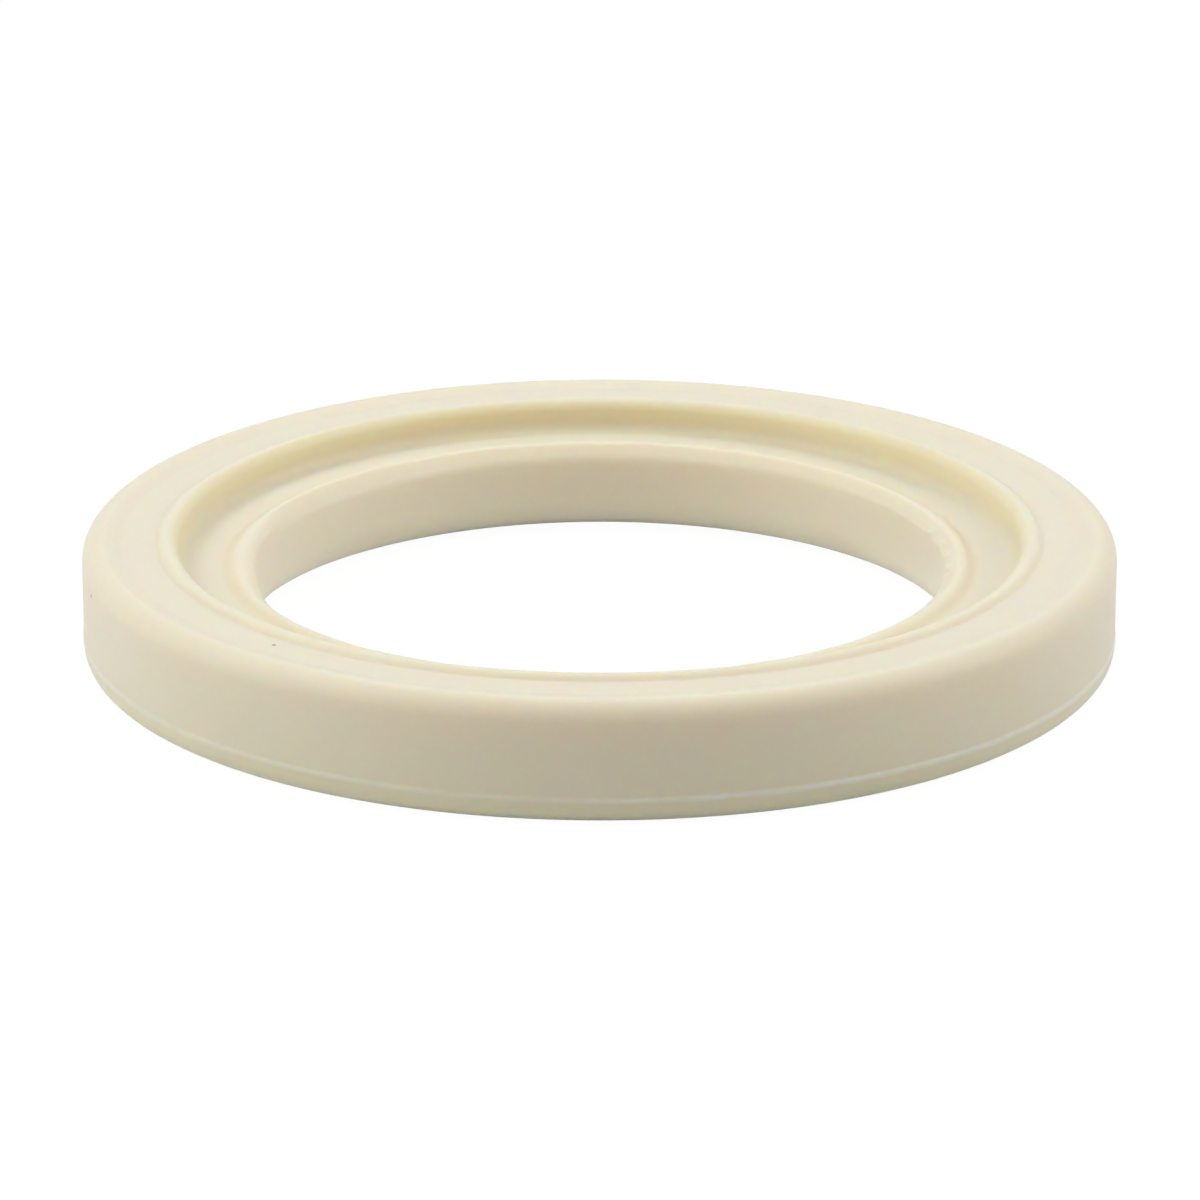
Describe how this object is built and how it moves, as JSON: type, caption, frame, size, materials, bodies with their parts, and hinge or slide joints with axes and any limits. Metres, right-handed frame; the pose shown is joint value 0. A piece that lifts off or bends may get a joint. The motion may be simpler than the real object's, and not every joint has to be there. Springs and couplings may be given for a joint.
{
  "type": "group head gasket",
  "caption": "Moulded silicone group head gasket: a stepped ring with a screen recess, a sealing bead round the step and a trimmed lip round the bore.",
  "frame": {"origin": "centre of the ring's flat underside", "axes": "+Z along the ring's axis, from the flat underside towards the stepped side with the sealing bead"},
  "size_m": [0.0732, 0.0732, 0.0086],
  "materials": {
    "silicone": "smooth moulded satin"
  },
  "bodies": {
    "root": {"gasket_ring": "silicone"}
  },
  "joints": []
}
